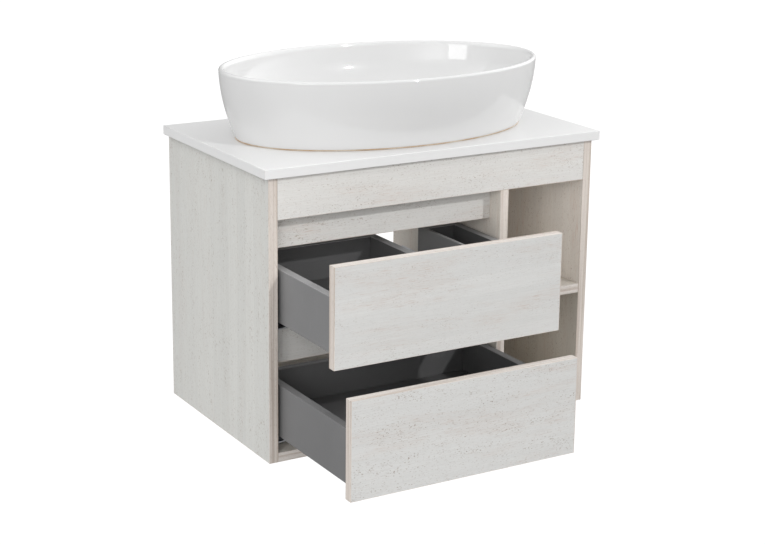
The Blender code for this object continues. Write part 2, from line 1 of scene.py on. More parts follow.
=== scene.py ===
"""Looks of the wall-hung wash stand: an oval vessel basin on a worktop, two drawers and a niche.

Every piece is built in the frame's own metres around the box of the part that it stands for, with
its mesh in world coordinates, so that object coordinates in the materials are metres too.
"""

import math

import bmesh
import bpy
from mathutils import Matrix, Vector


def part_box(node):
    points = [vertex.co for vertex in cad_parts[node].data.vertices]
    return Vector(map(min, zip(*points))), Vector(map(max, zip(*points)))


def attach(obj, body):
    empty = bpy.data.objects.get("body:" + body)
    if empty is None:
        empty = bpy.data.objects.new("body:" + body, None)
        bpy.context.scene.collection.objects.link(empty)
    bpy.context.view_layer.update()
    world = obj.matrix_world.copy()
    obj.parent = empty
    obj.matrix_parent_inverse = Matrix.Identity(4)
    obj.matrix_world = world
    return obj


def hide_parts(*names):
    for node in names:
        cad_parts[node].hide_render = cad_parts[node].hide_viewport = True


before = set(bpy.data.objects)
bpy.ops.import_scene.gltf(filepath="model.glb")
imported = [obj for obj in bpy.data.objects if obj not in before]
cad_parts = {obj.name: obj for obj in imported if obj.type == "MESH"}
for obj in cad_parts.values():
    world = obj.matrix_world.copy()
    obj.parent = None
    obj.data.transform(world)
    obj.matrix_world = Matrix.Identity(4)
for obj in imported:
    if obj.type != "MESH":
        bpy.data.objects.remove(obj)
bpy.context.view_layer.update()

X, Y, Z = 0, 1, 2
# Boards: thickness of the edge banding, radius of the broken edges on wood grain and on the grey
# boards, and each side's axis and end.
BAND = 0.0010
EDGE = 0.0004
GREY_EDGE = 0.0008
SIDES = {
    "left": (X, 0), "right": (X, 1), "front": (Y, 0), "back": (Y, 1), "foot": (Z, 0), "top": (Z, 1),
}


# ---------------- materials
class Nodes:
    """Short calls that add nodes to a tree."""

    def __init__(self, tree):
        self.tree = tree

    def add(self, kind, **settings):
        node = self.tree.nodes.new(kind)
        for key, value in settings.items():
            setattr(node, key, value)
        return node

    def put(self, socket, value):
        """Links a socket, or sets its value."""
        if isinstance(value, bpy.types.NodeSocket):
            self.tree.links.new(value, socket)
        elif isinstance(value, tuple) and len(value) == 3 and len(socket.default_value) == 4:
            socket.default_value = (*value, 1.0)
        else:
            socket.default_value = value

    def fill(self, node, names, values):
        """Puts each value into the node's socket of that name."""
        for name, value in zip(names, values):
            self.put(node.inputs[name], value)

    def maths(self, operation, first, second=0.0):
        node = self.add("ShaderNodeMath", operation=operation)
        self.fill(node, (0, 1), (first, second))
        return node.outputs[0]

    def times(self, first, second):
        return self.maths("MULTIPLY", first, second)

    def plus(self, first, second):
        return self.maths("ADD", first, second)


class Paint(Nodes):
    """One material. Its patterns are in object coordinates, which are metres."""

    def __init__(self, name, roughness=0.5, metallic=0.0):
        self.material = bpy.data.materials.new(name)
        self.material.use_nodes = True
        super().__init__(self.material.node_tree)
        self.shader = self.tree.nodes["Principled BSDF"]
        self.into("Roughness", roughness)
        self.into("Metallic", metallic)
        self.metres = self.add("ShaderNodeTexCoord").outputs["Object"]

    def into(self, name, value):
        self.put(self.shader.inputs[name], value)

    def noise(self, scale, shift=(0.0, 0.0, 0.0), detail=2.0, rough=0.5, distortion=0.0):
        """Noise over object coordinates, at one scale or one per axis, in repeats per metre."""
        scales = scale if isinstance(scale, tuple) else (scale, scale, scale)
        mapping = self.add("ShaderNodeMapping")
        self.fill(mapping, ("Vector", "Scale", "Location"), (self.metres, scales, shift))
        node = self.add("ShaderNodeTexNoise")
        names = ("Vector", "Scale", "Detail", "Roughness", "Distortion")
        self.fill(node, names, (mapping.outputs["Vector"], 1.0, detail, rough, distortion))
        return node.outputs["Fac"]

    def step(self, value, low, high, to_low=0.0, to_high=1.0):
        """Smooth step of a value from one range to another."""
        node = self.add("ShaderNodeMapRange", interpolation_type="SMOOTHSTEP")
        names = ("Value", "From Min", "From Max", "To Min", "To Max")
        self.fill(node, names, (value, low, high, to_low, to_high))
        return node.outputs["Result"]

    def parts(self):
        """Object coordinates, one socket per axis."""
        node = self.add("ShaderNodeSeparateXYZ")
        self.put(node.inputs[0], self.metres)
        return node.outputs

    def mix(self, share, first, second, blend="MIX"):
        node = self.add("ShaderNodeMix", data_type="RGBA", blend_type=blend)
        sockets = [socket for socket in node.inputs if socket.enabled]
        for socket, value in zip(sockets, (share, first, second)):
            self.put(socket, value)
        return next(socket for socket in node.outputs if socket.enabled)

    def dull(self, value, low, high):
        """Roughness between two values, where a noise value says."""
        self.into("Roughness", self.step(value, 0.3, 0.7, low, high))

    def finished(self, colour, height, distance, strength=1.0):
        """The material, with its colour and a bump of this height in metres."""
        self.into("Base Color", colour)
        node = self.add("ShaderNodeBump")
        self.fill(node, ("Height", "Distance", "Strength"), (height, distance, strength))
        self.into("Normal", node.outputs["Normal"])
        return self.material


def along_axis(axis, along, across):
    """A scale per axis that stretches a pattern along one of them."""
    scale = [across, across, across]
    scale[axis] = along
    return tuple(scale)


def tone(paint, colour, value, spread):
    """A colour made darker or lighter by a noise value, by this much either way."""
    grey = paint.step(value, 0.25, 0.75, 1.0 - spread, 1.0 + spread)
    return paint.mix(1.0, colour, grey, "MULTIPLY")


# Wood grain: its ground colour, its pinkish patches, its fine lines and its pores, and the width of
# a stave.
WOOD = (0.646, 0.642, 0.626)
WOOD_PATCH = (0.612, 0.575, 0.545)
WOOD_LINE = (0.500, 0.375, 0.315)
PORE = (0.200, 0.120, 0.070)
STAVE = 0.031

# What a board's colour is multiplied by. The warm tint is painted warm bounce light on faces inside the
# cabinet. NICHE stands for the niche's walls: painted light above its shelf and painted shade under it.
PLAIN = (1.0, 1.0, 1.0)
WARM_BOUNCE_LIGHT = (1.16, 1.095, 1.02)
LIGHTER = (1.055, 1.045, 1.035)
COOLER = (0.990, 0.997, 0.982)
DARKER = (0.930, 0.934, 0.938)
NICHE = "niche"
NICHE_PAINTED_LIGHT = (1.40, 1.33, 1.26)
NICHE_PAINTED_SHADE = (1.02, 0.96, 0.88)


def staves(paint, axis, seed):
    """A value that differs from stave to stave, where each runs the length of the grain."""
    first, second = (socket for number, socket in enumerate(paint.parts()) if number != axis)
    wave = paint.noise(along_axis(axis, 2.0, 9.0), detail=0.0)
    across = paint.plus(paint.plus(first, second), paint.times(wave, 0.02))
    number = paint.maths("FLOOR", paint.plus(paint.maths("DIVIDE", across, STAVE), seed * 7.3))
    noise = paint.add("ShaderNodeTexWhiteNoise", noise_dimensions="1D")
    paint.put(noise.inputs["W"], number)
    return noise.outputs["Value"]


def niche_painted_light_and_shade(paint):
    """What the niche's walls are multiplied by: painted light above its shelf and painted shade under
    it.
    """
    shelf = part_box("niche_shelf")
    above = paint.step(paint.parts()[Z], shelf[0][Z], shelf[1][Z])
    return paint.mix(above, NICHE_PAINTED_SHADE, NICHE_PAINTED_LIGHT)


def woodgrain(name, axis, seed, pores=0.6, tint=PLAIN, patchy=1.0):
    """Whitewashed wood-grain melamine: cool white with pinkish patches, fine lines and open pores."""
    paint = Paint(name, roughness=0.55)
    shift = (seed * 3.1, seed * 1.7, seed * 2.3)

    def layer(along, across, **more):
        return paint.noise(along_axis(axis, along, across), shift, **more)

    bands = layer(1.2, 20.0, detail=3.0, rough=0.6)
    cloud = layer(5.0, 34.0, detail=4.0, rough=0.62, distortion=0.3)
    patches = paint.step(cloud, 0.46, 0.68, 0.0, patchy)
    streaks = layer(13.0, 520.0, detail=3.0, rough=0.6, distortion=0.3)
    fibres = layer(60.0, 1500.0)
    lines = paint.step(layer(42.0, 840.0, rough=0.6, distortion=0.4), 0.55, 0.68)
    dashes = paint.step(layer(120.0, 1000.0, detail=1.0, distortion=0.4), 0.60, 0.68)
    ripples = layer(75.0, 620.0, rough=0.6, distortion=0.8)
    dots = paint.step(layer(300.0, 640.0, detail=0.0), 0.70, 0.75)
    clusters = paint.step(layer(9.0, 48.0, detail=3.0, rough=0.65), 0.45, 0.66)
    stave_spread = 0.022 if axis == Z else 0.014
    colour = tone(paint, tone(paint, WOOD, bands, 0.010), staves(paint, axis, seed), stave_spread)
    colour = paint.mix(paint.times(patches, 0.42), colour, WOOD_PATCH)
    colour = tone(paint, colour, streaks, 0.030)
    fleck = paint.times(lines, paint.plus(paint.times(patches, 0.50), 0.06))
    colour = paint.mix(fleck, colour, WOOD_LINE)
    spread = paint.plus(paint.times(clusters, 0.60), 0.30)
    holes = paint.maths("MAXIMUM", paint.times(dashes, 0.45), dots)
    holes = paint.times(holes, spread)
    colour = paint.mix(paint.times(holes, pores), colour, PORE)
    colour = tone(paint, colour, fibres, 0.020)
    # The tint is a board's tone, or painted warm bounce light, or the niche's painted light and shade.
    colour = paint.mix(1.0, colour, niche_painted_light_and_shade(paint) if tint == NICHE else tint, "MULTIPLY")
    paint.dull(fibres, 0.50, 0.62)
    relief = paint.maths("SUBTRACT", paint.times(ripples, 0.9), holes)
    return paint.finished(colour, paint.plus(relief, paint.times(fibres, 0.2)), 0.00018)


# Edge banding: its colour, a paler one for bands along X, and its dark stripes.
BANDING = (0.660, 0.600, 0.550)
BANDING_PALE = (0.668, 0.622, 0.582)
BANDING_DARK = (0.440, 0.360, 0.300)


def banding(name, axis, seed):
    """The pinkish edge banding, with fine stripes along it."""
    paint = Paint(name, roughness=0.5)
    shift = (seed * 2.9, seed * 3.7, seed * 1.3)
    wide = paint.noise(along_axis(axis, 3.0, 270.0), shift, distortion=0.2)
    fine = paint.noise(along_axis(axis, 14.0, 1100.0), shift)
    dashes = paint.noise(along_axis(axis, 170.0, 1700.0), shift, detail=1.0)
    pores = paint.step(dashes, 0.62, 0.72)
    base = BANDING_PALE if axis == X else BANDING
    colour = paint.mix(paint.step(wide, 0.48, 0.62, 0.0, 0.60), base, BANDING_DARK)
    colour = tone(paint, colour, fine, 0.06)
    colour = paint.mix(paint.times(pores, 0.35), colour, PORE)
    paint.dull(fine, 0.45, 0.58)
    return paint.finished(colour, paint.maths("SUBTRACT", fine, pores), 0.00008)


# The drawer boards' greys: inside, along the edges, outside, and in the notch for the trap. The outside
# and notch greys are lighter than the inside one: painted light on those faces and painted shade
# inside.
# The lower drawer's edge and outside greys are darker than the upper's: painted shade under the upper
# drawer.
INNER_GREY = 0.108
EDGE_GREY = {"upper": 0.29, "lower": 0.165}
OUTER_GREY = {"upper": 0.200, "lower": 0.164}
NOTCH_GREY = 0.215


def drawer_board(name, seed, grey):
    """Matt graphite laminate with a fine pearl texture."""
    base = (grey, grey, grey * 1.012)
    paint = Paint(name)
    shift = (seed * 1.9, seed * 2.7, seed * 3.3)
    cloud = paint.noise(9.0, shift, detail=4.0, rough=0.6)
    grit = paint.noise(1500.0, shift, detail=1.0)
    rub = paint.step(paint.noise((30.0, 220.0, 30.0), shift, detail=3.0), 0.62, 0.75)
    colour = tone(paint, base, cloud, 0.06)
    colour = tone(paint, colour, grit, 0.07)
    colour = paint.mix(paint.times(rub, 0.10), colour, (0.30, 0.30, 0.30))
    paint.dull(cloud, 0.50, 0.60)
    return paint.finished(colour, grit, 0.00006)


def lacquer():
    """The worktop's white lacquer: semi-gloss, with a trace of orange peel and dust."""
    paint = Paint("worktop_lacquer")
    cloud = paint.noise(7.0, detail=3.0)
    peel = paint.noise(260.0)
    dust = paint.step(paint.noise(900.0, detail=0.0), 0.77, 0.82)
    colour = tone(paint, (0.750, 0.750, 0.748), cloud, 0.004)
    colour = paint.mix(paint.times(dust, 0.10), colour, (0.55, 0.53, 0.50))
    paint.dull(cloud, 0.29, 0.35)
    return paint.finished(colour, peel, 0.000004)


def glaze(foot):
    """White sanitary glaze, thinning to warm bare clay at the foot ring."""
    paint = Paint("basin_glaze")
    wave = paint.noise(14.0)
    speck = paint.step(paint.noise(700.0, detail=0.0), 0.78, 0.84)
    high = paint.plus(paint.parts()[Z], paint.times(wave, 0.0006))
    bare = paint.step(high, foot + 0.0006, foot + 0.0014, 1.0, 0.0)
    colour = tone(paint, (0.680, 0.680, 0.679), wave, 0.004)
    colour = paint.mix(paint.times(speck, 0.08), colour, (0.62, 0.60, 0.56))
    colour = paint.mix(bare, colour, (0.66, 0.58, 0.48))
    paint.into("Roughness", paint.plus(paint.times(bare, 0.6), 0.055))
    return paint.finished(colour, wave, 0.0012, 0.25)


def bead_material():
    """The bead under the basin, amber brown and uneven."""
    paint = Paint("sealant_bead", roughness=0.55)
    patch = paint.noise(22.0, detail=3.0)
    grit = paint.noise(900.0, detail=1.0)
    colour = paint.mix(paint.step(patch, 0.35, 0.65), (0.52, 0.36, 0.22), (0.70, 0.62, 0.52))
    return paint.finished(tone(paint, colour, grit, 0.12), grit, 0.00015)


def zinc():
    """Bright zinc-plated sheet, drawn along the runner."""
    paint = Paint("zinc_plate", metallic=1.0)
    brushed = paint.noise((1400.0, 18.0, 1400.0))
    cloud = paint.noise((60.0, 20.0, 60.0), detail=4.0, rough=0.65)
    colour = tone(paint, (0.56, 0.57, 0.59), cloud, 0.10)
    paint.dull(cloud, 0.29, 0.44)
    return paint.finished(tone(paint, colour, brushed, 0.05), brushed, 0.00003)


def chrome():
    """Polished chrome with water marks and hairline rubs."""
    paint = Paint("bright_chrome", metallic=1.0)
    marks = paint.noise(120.0, detail=4.0, rough=0.65)
    rubs = paint.noise((2500.0, 60.0, 2500.0), detail=1.0)
    paint.into("Roughness", paint.step(marks, 0.40, 0.70, 0.05, 0.16))
    return paint.finished(tone(paint, (0.80, 0.80, 0.82), marks, 0.03), rubs, 0.00001)


def plastic(name, base, roughness, speckle):
    """Moulded plastic with a fine spark-eroded texture and faint flow marks."""
    paint = Paint(name)
    flow = paint.noise((30.0, 30.0, 12.0), detail=3.0)
    spark = paint.noise(1200.0, detail=1.0)
    colour = tone(paint, base, flow, 0.03)
    paint.dull(flow, roughness - 0.05, roughness + 0.05)
    return paint.finished(tone(paint, colour, spark, speckle), spark, 0.00004)


LACQUER = lacquer()
GLAZE = glaze(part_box("basin")[0][Z])
BEAD = bead_material()
ZINC = zinc()
CHROME = chrome()
WHITE_PLASTIC = plastic("white_plastic", (0.80, 0.80, 0.79), 0.38, 0.02)
CLIP_PLASTIC = plastic("clip_plastic", (0.16, 0.16, 0.17), 0.45, 0.08)
RUBBER = plastic("seal_rubber", (0.035, 0.035, 0.037), 0.75, 0.15)


# ---------------- mesh helpers
# Angles: shading is smooth up to the first, edges are rounded from the second, and faces within the
# third are one flat face. Points closer than the distance are one point.
SMOOTH_UP_TO = math.radians(32)
SHARP_FROM = 1.0
FLAT_WITHIN = math.radians(1)
SAME_POINT = 0.000001


def box_of(node):
    """The low and high corners of a node's box."""
    return tuple(Vector(corner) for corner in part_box(node))


def placed(name, data):
    """A new object in the scene with this mesh, lamp or camera."""
    made = bpy.data.objects.new(name, data)
    bpy.context.scene.collection.objects.link(made)
    return made


def round_edges(shape, radius, segments=2, clamped=False, edges=None):
    """Rounds these edges of a shape, or every sharp one, and returns the new faces."""
    edges = edges or [edge for edge in shape.edges if edge.calc_face_angle(0.0) > SHARP_FROM]
    return bmesh.ops.bevel(
        shape, geom=edges, offset=radius, segments=segments, profile=0.5, affect="EDGES",
        clamp_overlap=clamped,
    )["faces"]


def finish_piece(node, shape, materials, body="cabinet", smooth=True, name=None):
    """Turns a mesh being built in world metres into the piece that stands for a node."""
    name = name or node + "_visual"
    mesh = bpy.data.meshes.new(name)
    bmesh.ops.recalc_face_normals(shape, faces=shape.faces)
    shape.to_mesh(mesh)
    shape.free()
    piece = placed(name, mesh)
    for material in materials:
        mesh.materials.append(material)
    if smooth:
        mesh.shade_smooth()
        mesh.set_sharp_from_angle(angle=SMOOTH_UP_TO)
    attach(piece, body)
    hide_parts(node)


def box_shape(shape, low, high):
    """Adds a plain box and returns its corners."""
    made = bmesh.ops.create_cube(shape, size=1.0)["verts"]
    size = Vector(high) - Vector(low)
    bmesh.ops.scale(shape, vec=size, verts=made)
    bmesh.ops.translate(shape, vec=(Vector(high) + Vector(low)) / 2, verts=made)
    return made


def rounded_box(shape, low, high, radius, segments=2):
    """Adds a box with every edge rounded."""
    edges = list({edge for vert in box_shape(shape, low, high) for edge in vert.link_edges})
    for face in round_edges(shape, radius, segments, True, edges):
        face.smooth = True


def board(node, body, sides, materials, edge_radius=EDGE, inner=None):
    """A board whose banded sides have the materials of these numbers. Its faces have the first.

    inner is the side whose face gets the last of the materials.
    """
    low, high = box_of(node)
    shape = bmesh.new()
    box_shape(shape, low, high)
    planes = []
    for side, index in sides.items():
        axis, end = SIDES[side]
        normal = Vector((0.0, 0.0, 0.0))
        normal[axis] = 1.0 if end else -1.0
        level = (high if end else low) - normal * BAND
        planes.append((normal, level, index))
        geometry = shape.verts[:] + shape.edges[:] + shape.faces[:]
        bmesh.ops.bisect_plane(shape, geom=geometry, plane_co=level, plane_no=normal)
    round_edges(shape, edge_radius, 3)
    shape.normal_update()
    for face in shape.faces:
        centre = face.calc_center_median()
        face.smooth = max(abs(part) for part in face.normal) < 0.999
        if inner and face.normal[SIDES[inner][0]] * (2 * SIDES[inner][1] - 1) > 0.5:
            face.material_index = len(materials) - 1
        for normal, level, index in planes:
            if (centre - level).dot(normal) > 0.0:
                face.material_index = index
    finish_piece(node, shape, materials, body, smooth=False)


SEEDS = {}


def seed_of(node):
    """A number of its own for each board, in the order in which they are made."""
    return SEEDS.setdefault(node, len(SEEDS) + 1)


def wood_board(node, axis, sides, pores=0.5, inner=None, tint=PLAIN, patchy=1.0, body="cabinet"):
    """A wood-grain board with its own piece of grain. sides gives each banded side's grain axis.

    inner is the side whose face looks into the cabinet and carries painted light of its own.
    """
    seed = seed_of(node)
    axes = sorted(set(sides.values()))
    materials = [banding(f"{node}_banding_{'xyz'[one]}", one, seed) for one in axes]
    indices = {side: axes.index(one) + 1 for side, one in sides.items()}
    grain = woodgrain(node + "_grain", axis, seed, pores, tint, patchy)
    if inner:
        # Inside faces carry painted warm bounce light; the niche's walls carry painted light and shade.
        inside = NICHE if node in ("side_panel_right", "niche_back") else WARM_BOUNCE_LIGHT
        materials.append(woodgrain(node + "_grain_inside", axis, seed, pores, inside))
    board(node, body, indices, [grain] + materials, inner=inner)


def grey_board(node, sides=("top",), outer_grey=None, outer_side=None):
    """A drawer board in graphite laminate with banded edges, its greys holding painted light and shade.
    """
    level = node.split("_")[0]
    greys = {"face": INNER_GREY, "edge": EDGE_GREY[level]}
    if outer_side:
        greys["outside"] = outer_grey
    seed = seed_of(node)
    materials = [drawer_board(f"{node}_{part}", seed, grey) for part, grey in greys.items()]
    indices = {side: 1 for side in sides}
    board(node, f"{level}_drawer", indices, materials, GREY_EDGE, outer_side)


# ---------------- cabinet boards
def make_boards():
    """Every straight board: wood grain on the cabinet and fronts, graphite on the drawers."""
    edges = {"front": Z, "foot": Y, "top": Y, "back": Z}
    rail = {"foot": X, "top": X}
    # Inside faces and the niche's shelf, back and walls carry painted bounce light, light and shade.
    wood_board("side_panel_left", Z, edges, 0.55, "right", COOLER, 0.25)
    wood_board("side_panel_right", Z, edges, 0.55, "left", COOLER, 0.25)
    wood_board("bottom_panel", X, {"front": X, "back": X}, inner="top")
    wood_board("apron", X, rail, 0.6, tint=LIGHTER)
    wood_board("grip_rail_upper", X, rail, tint=LIGHTER)
    wood_board("grip_rail_middle", X, rail, tint=LIGHTER)
    wood_board("niche_shelf", X, {"front": X}, tint=WARM_BOUNCE_LIGHT)
    wood_board("niche_back", Z, {"top": X}, inner="front", tint=WARM_BOUNCE_LIGHT)
    wood_board("hanging_rail", X, rail)
    wood_board("lower_back_rail", X, rail)
    wood_board("front_stretcher", X, {"back": X})
    for level in ("upper", "lower"):
        sides = {"top": X, "foot": X, "left": Z, "right": Z}
        pores = 0.35 if level == "upper" else 0.75
        body = f"{level}_drawer"
        wood_board(f"{body}_front", X, sides, pores, tint=DARKER, body=body)
        for side in ("left", "right"):
            # The outer faces' greys are painted light; the lower drawer's greys are painted shade.
            grey_board(f"{body}_side_{side}", ("top", "back"), OUTER_GREY[level], side)
    for part in ("back_left", "back_right"):
        grey_board(f"upper_drawer_{part}")
    # The notch walls' outer grey is painted light.
    for part, side in (("notch_front", "back"), ("notch_left", "right"), ("notch_right", "left")):
        grey_board(f"upper_drawer_{part}", ("top",), NOTCH_GREY, side)
    grey_board("lower_drawer_back")
    grey_board("lower_drawer_floor", ())


make_boards()


def join_two(shape, loop, onward):
    """Adds faces between two loops of points, either of which may be a single point."""
    for step in range(max(len(loop), len(onward))):
        corners = (
            loop[step % len(loop)], loop[(step + 1) % len(loop)],
            onward[(step + 1) % len(onward)], onward[step % len(onward)],
        )
        corners = list(dict.fromkeys(corners))
        if len(corners) > 2:
            shape.faces.new(corners)


def extruded(shape, outline, direction, span):
    """Adds a prism from a flat outline: direction is the axis that it runs along."""
    def end(along):
        points = [list(pair) for pair in outline]
        for values in points:
            values.insert(direction, along)
        return [shape.verts.new(values) for values in points]

    low, high = end(span[0]), end(span[1])
    shape.faces.new(low)
    shape.faces.new(high)
    join_two(shape, low, high)


def node_faces(node):
    """The CAD node's own mesh as a new shape, in world metres, with flat faces dissolved."""
    shape = bmesh.new()
    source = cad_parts[node]
    shape.from_mesh(source.data)
    shape.transform(source.matrix_world)
    bmesh.ops.remove_doubles(shape, verts=shape.verts, dist=SAME_POINT)
    bmesh.ops.dissolve_limit(
        shape, angle_limit=FLAT_WITHIN, use_dissolve_boundaries=False,
        verts=shape.verts, edges=shape.edges,
    )
    return shape


def make_stepped_divider():
    """The divider keeps its outline, with banding along its front edges."""
    shape = node_faces("divider")
    seed = seed_of("divider")
    shape.normal_update()
    for face in shape.faces:
        normal = face.normal
        if abs(normal.y) > 0.5:
            face.material_index = 1
        elif abs(normal.z) > 0.5:
            face.material_index = 2
        elif normal.x > 0.5:
            face.material_index = 3
    round_edges(shape, EDGE / 2)
    # Its grain carries painted warm bounce light; its face towards the niche painted light and shade.
    materials = [
        woodgrain("divider_grain", Z, seed, tint=WARM_BOUNCE_LIGHT),
        banding("divider_banding_z", Z, seed),
        banding("divider_banding_y", Y, seed),
        woodgrain("divider_grain_inside", Z, seed, tint=NICHE),
    ]
    finish_piece("divider", shape, materials)


make_stepped_divider()


def make_notched_floor():
    """The upper drawer's floor keeps its outline, with the notch for the trap."""
    shape = node_faces("upper_drawer_floor")
    round_edges(shape, EDGE)
    face = drawer_board("upper_drawer_floor_face", seed_of("upper_drawer_floor"), INNER_GREY)
    finish_piece("upper_drawer_floor", shape, [face], "upper_drawer")


make_notched_floor()


# ---------------- worktop and basin
def join_loops(shape, loops):
    """Adds faces between each loop of points and the next, and between the last and the first."""
    for number, loop in enumerate(loops):
        join_two(shape, loop, loops[(number + 1) % len(loops)])


def lofted(shape, rings, centre):
    """Joins elliptical rings of (half-axis along X, half-axis along Y, height)."""
    turns = [math.tau * step / BASIN_SEGMENTS for step in range(BASIN_SEGMENTS)]
    loops = []
    for long, wide, high in rings:
        around = [(long * math.cos(turn), wide * math.sin(turn)) for turn in turns]
        loops.append([shape.verts.new((centre.x + x, centre.y + y, high)) for x, y in around])
    join_loops(shape, loops)


def quarter(steps):
    """Pairs of 1 - sine and 1 - cosine through a quarter turn."""
    angles = [math.pi / 2 * step / steps for step in range(steps + 1)]
    return [(1 - math.sin(angle), 1 - math.cos(angle)) for angle in angles]


# The basin: its box, its outside at the foot, its wall, the rim's two radii, the curves of its
# outside and its bowl, the bowl's floor and fall, the drain, and the foot ring round a hollow.
BASIN_LOW, BASIN_HIGH = box_of("basin")
BASIN_CENTRE = (BASIN_LOW + BASIN_HIGH) / 2
BASIN_TALL = BASIN_HIGH.z - BASIN_LOW.z
RIM_LONG = (BASIN_HIGH.x - BASIN_LOW.x) / 2
RIM_WIDE = (BASIN_HIGH.y - BASIN_LOW.y) / 2
BASE_LONG = RIM_LONG - 0.0267
BASE_WIDE = RIM_WIDE - 0.0271
BASIN_WALL = 0.010
RIM_OUT = 0.0042
RIM_DEEP = 0.0090
FLARE_POWER = 1.83
BOWL_POWER = 4.0
BOWL_FLOOR = 0.016
FLOOR_FALL = 0.004
DRAIN_RADIUS = 0.0225
DRAIN_SEAT = 0.033
SEAT_DEEP = 0.002
DRAIN_BOSS = 0.045
HOLLOW_DEEP = 0.006
FOOT_WIDE = 0.010
FOOT_TURN = 0.0012
FOOT_INSET = 0.0004
CORNER = 0.0006
# How the section is divided: round the foot, up the wall (from and to these shares of its height,
# closer together near the foot), over the rim and down the bowl (between these shares of its width).
ROUND_STEPS = 3
WALL_STEPS = 39
WALL_SHARES = (0.012, 0.955)
WALL_SPACING = 1.25
RIM_STEPS = 20
BOWL_STEPS = 60
BOWL_START = 0.9975
BOWL_END = 0.30
BASIN_SEGMENTS = 192
# The bead under the basin: how far it runs in from its edge, how far it bulges, and its steps.
BEAD_WIDE = 0.0066
BEAD_BULGE = 0.0006
BEAD_STEPS = 8


def outer_half_axes(share):
    """The outside's half-axes at this share of the basin's height."""
    flare = 1 - (1 - share) ** FLARE_POWER
    return BASE_LONG + (RIM_LONG - BASE_LONG) * flare, BASE_WIDE + (RIM_WIDE - BASE_WIDE) * flare


def basin_rings():
    """The basin's whole section, from the foot up the outside, over the rim and down the bowl."""
    rings = []
    long, wide = outer_half_axes(FOOT_TURN / BASIN_TALL)
    for across, up in quarter(ROUND_STEPS):
        inset = FOOT_TURN * across + FOOT_INSET
        rings.append((long - inset, wide - inset, FOOT_TURN * up))
    first, last = WALL_SHARES
    for step in range(1, WALL_STEPS + 1):
        share = first + (last - first) * (step / WALL_STEPS) ** WALL_SPACING
        rings.append((*outer_half_axes(share), share * BASIN_TALL))
    for step in range(RIM_STEPS + 1):
        angle = math.pi * step / RIM_STEPS
        inner = angle > math.pi / 2
        inset = RIM_OUT - (BASIN_WALL - RIM_OUT if inner else RIM_OUT) * math.cos(angle)
        drop = (RIM_DEEP if inner else RIM_OUT) * (1 - math.sin(angle))
        rings.append((RIM_LONG - inset, RIM_WIDE - inset, BASIN_TALL - drop))
    for step in range(1, BOWL_STEPS):
        bend = math.pi / 2 * step / BOWL_STEPS
        spread = math.cos(bend) ** (2 / BOWL_POWER)
        share = 1 - math.sin(bend) ** (2 / BOWL_POWER)
        if spread > BOWL_START or share * BASIN_TALL > BASIN_TALL - RIM_DEEP - 0.002:
            continue
        long, wide = outer_half_axes(share)
        floor = BOWL_FLOOR + FLOOR_FALL * spread
        high = floor + (BASIN_TALL - floor) * share
        rings.append(((long - BASIN_WALL) * spread, (wide - BASIN_WALL) * spread, high))
        if spread < BOWL_END:
            break
    seat = (DRAIN_SEAT + 0.001, DRAIN_SEAT + 0.001, BOWL_FLOOR + 0.0004)
    edge = rings[-1]
    for share in (0.35, 0.7, 0.9):
        rings.append(tuple(start + (end - start) * share for start, end in zip(edge, seat)))
    circles = (
        (DRAIN_SEAT + 0.0008, BOWL_FLOOR + 0.0001),
        (DRAIN_SEAT, BOWL_FLOOR - CORNER),
        (DRAIN_SEAT, BOWL_FLOOR - SEAT_DEEP),
        (DRAIN_RADIUS + CORNER, BOWL_FLOOR - SEAT_DEEP),
        (DRAIN_RADIUS, BOWL_FLOOR - SEAT_DEEP - CORNER),
        (DRAIN_RADIUS, CORNER),
        (DRAIN_RADIUS + CORNER, 0.0),
        (DRAIN_BOSS - CORNER, 0.0),
        (DRAIN_BOSS, CORNER),
        (DRAIN_BOSS, HOLLOW_DEEP),
    )
    rings += [(radius, radius, high) for radius, high in circles]
    long, wide = BASE_LONG - FOOT_WIDE, BASE_WIDE - FOOT_WIDE
    rings += [(long, wide, HOLLOW_DEEP), (long, wide, CORNER), (long + CORNER, wide + CORNER, 0.0)]
    return [(long, wide, BASIN_LOW.z + high) for long, wide, high in rings]


def make_basin():
    """The basin, and the bead that it stands on."""
    shape = bmesh.new()
    lofted(shape, basin_rings(), BASIN_CENTRE)
    finish_piece("basin", shape, [GLAZE])
    low, high = box_of("basin_seal")
    long, wide = (high.x - low.x) / 2, (high.y - low.y) / 2
    tall = high.z - low.z
    rings = [(long - BEAD_WIDE, wide - BEAD_WIDE, low.z)]
    for step in range(BEAD_STEPS + 1):
        angle = -math.pi / 2 + math.pi * step / BEAD_STEPS
        inset = BEAD_BULGE * (1 - math.cos(angle))
        rings.append((long - inset, wide - inset, low.z + tall / 2 * (1 + math.sin(angle))))
    rings.append((long - BEAD_WIDE, wide - BEAD_WIDE, high.z))
    shape = bmesh.new()
    lofted(shape, rings, (low + high) / 2)
    finish_piece("basin_seal", shape, [BEAD], name="basin_bead")


make_basin()


# The worktop: the radius of its hole, the points round it, and the radius of its edges.
WORKTOP_HOLE = 0.030
WORKTOP_POINTS = 64
WORKTOP_EDGE = 0.0009


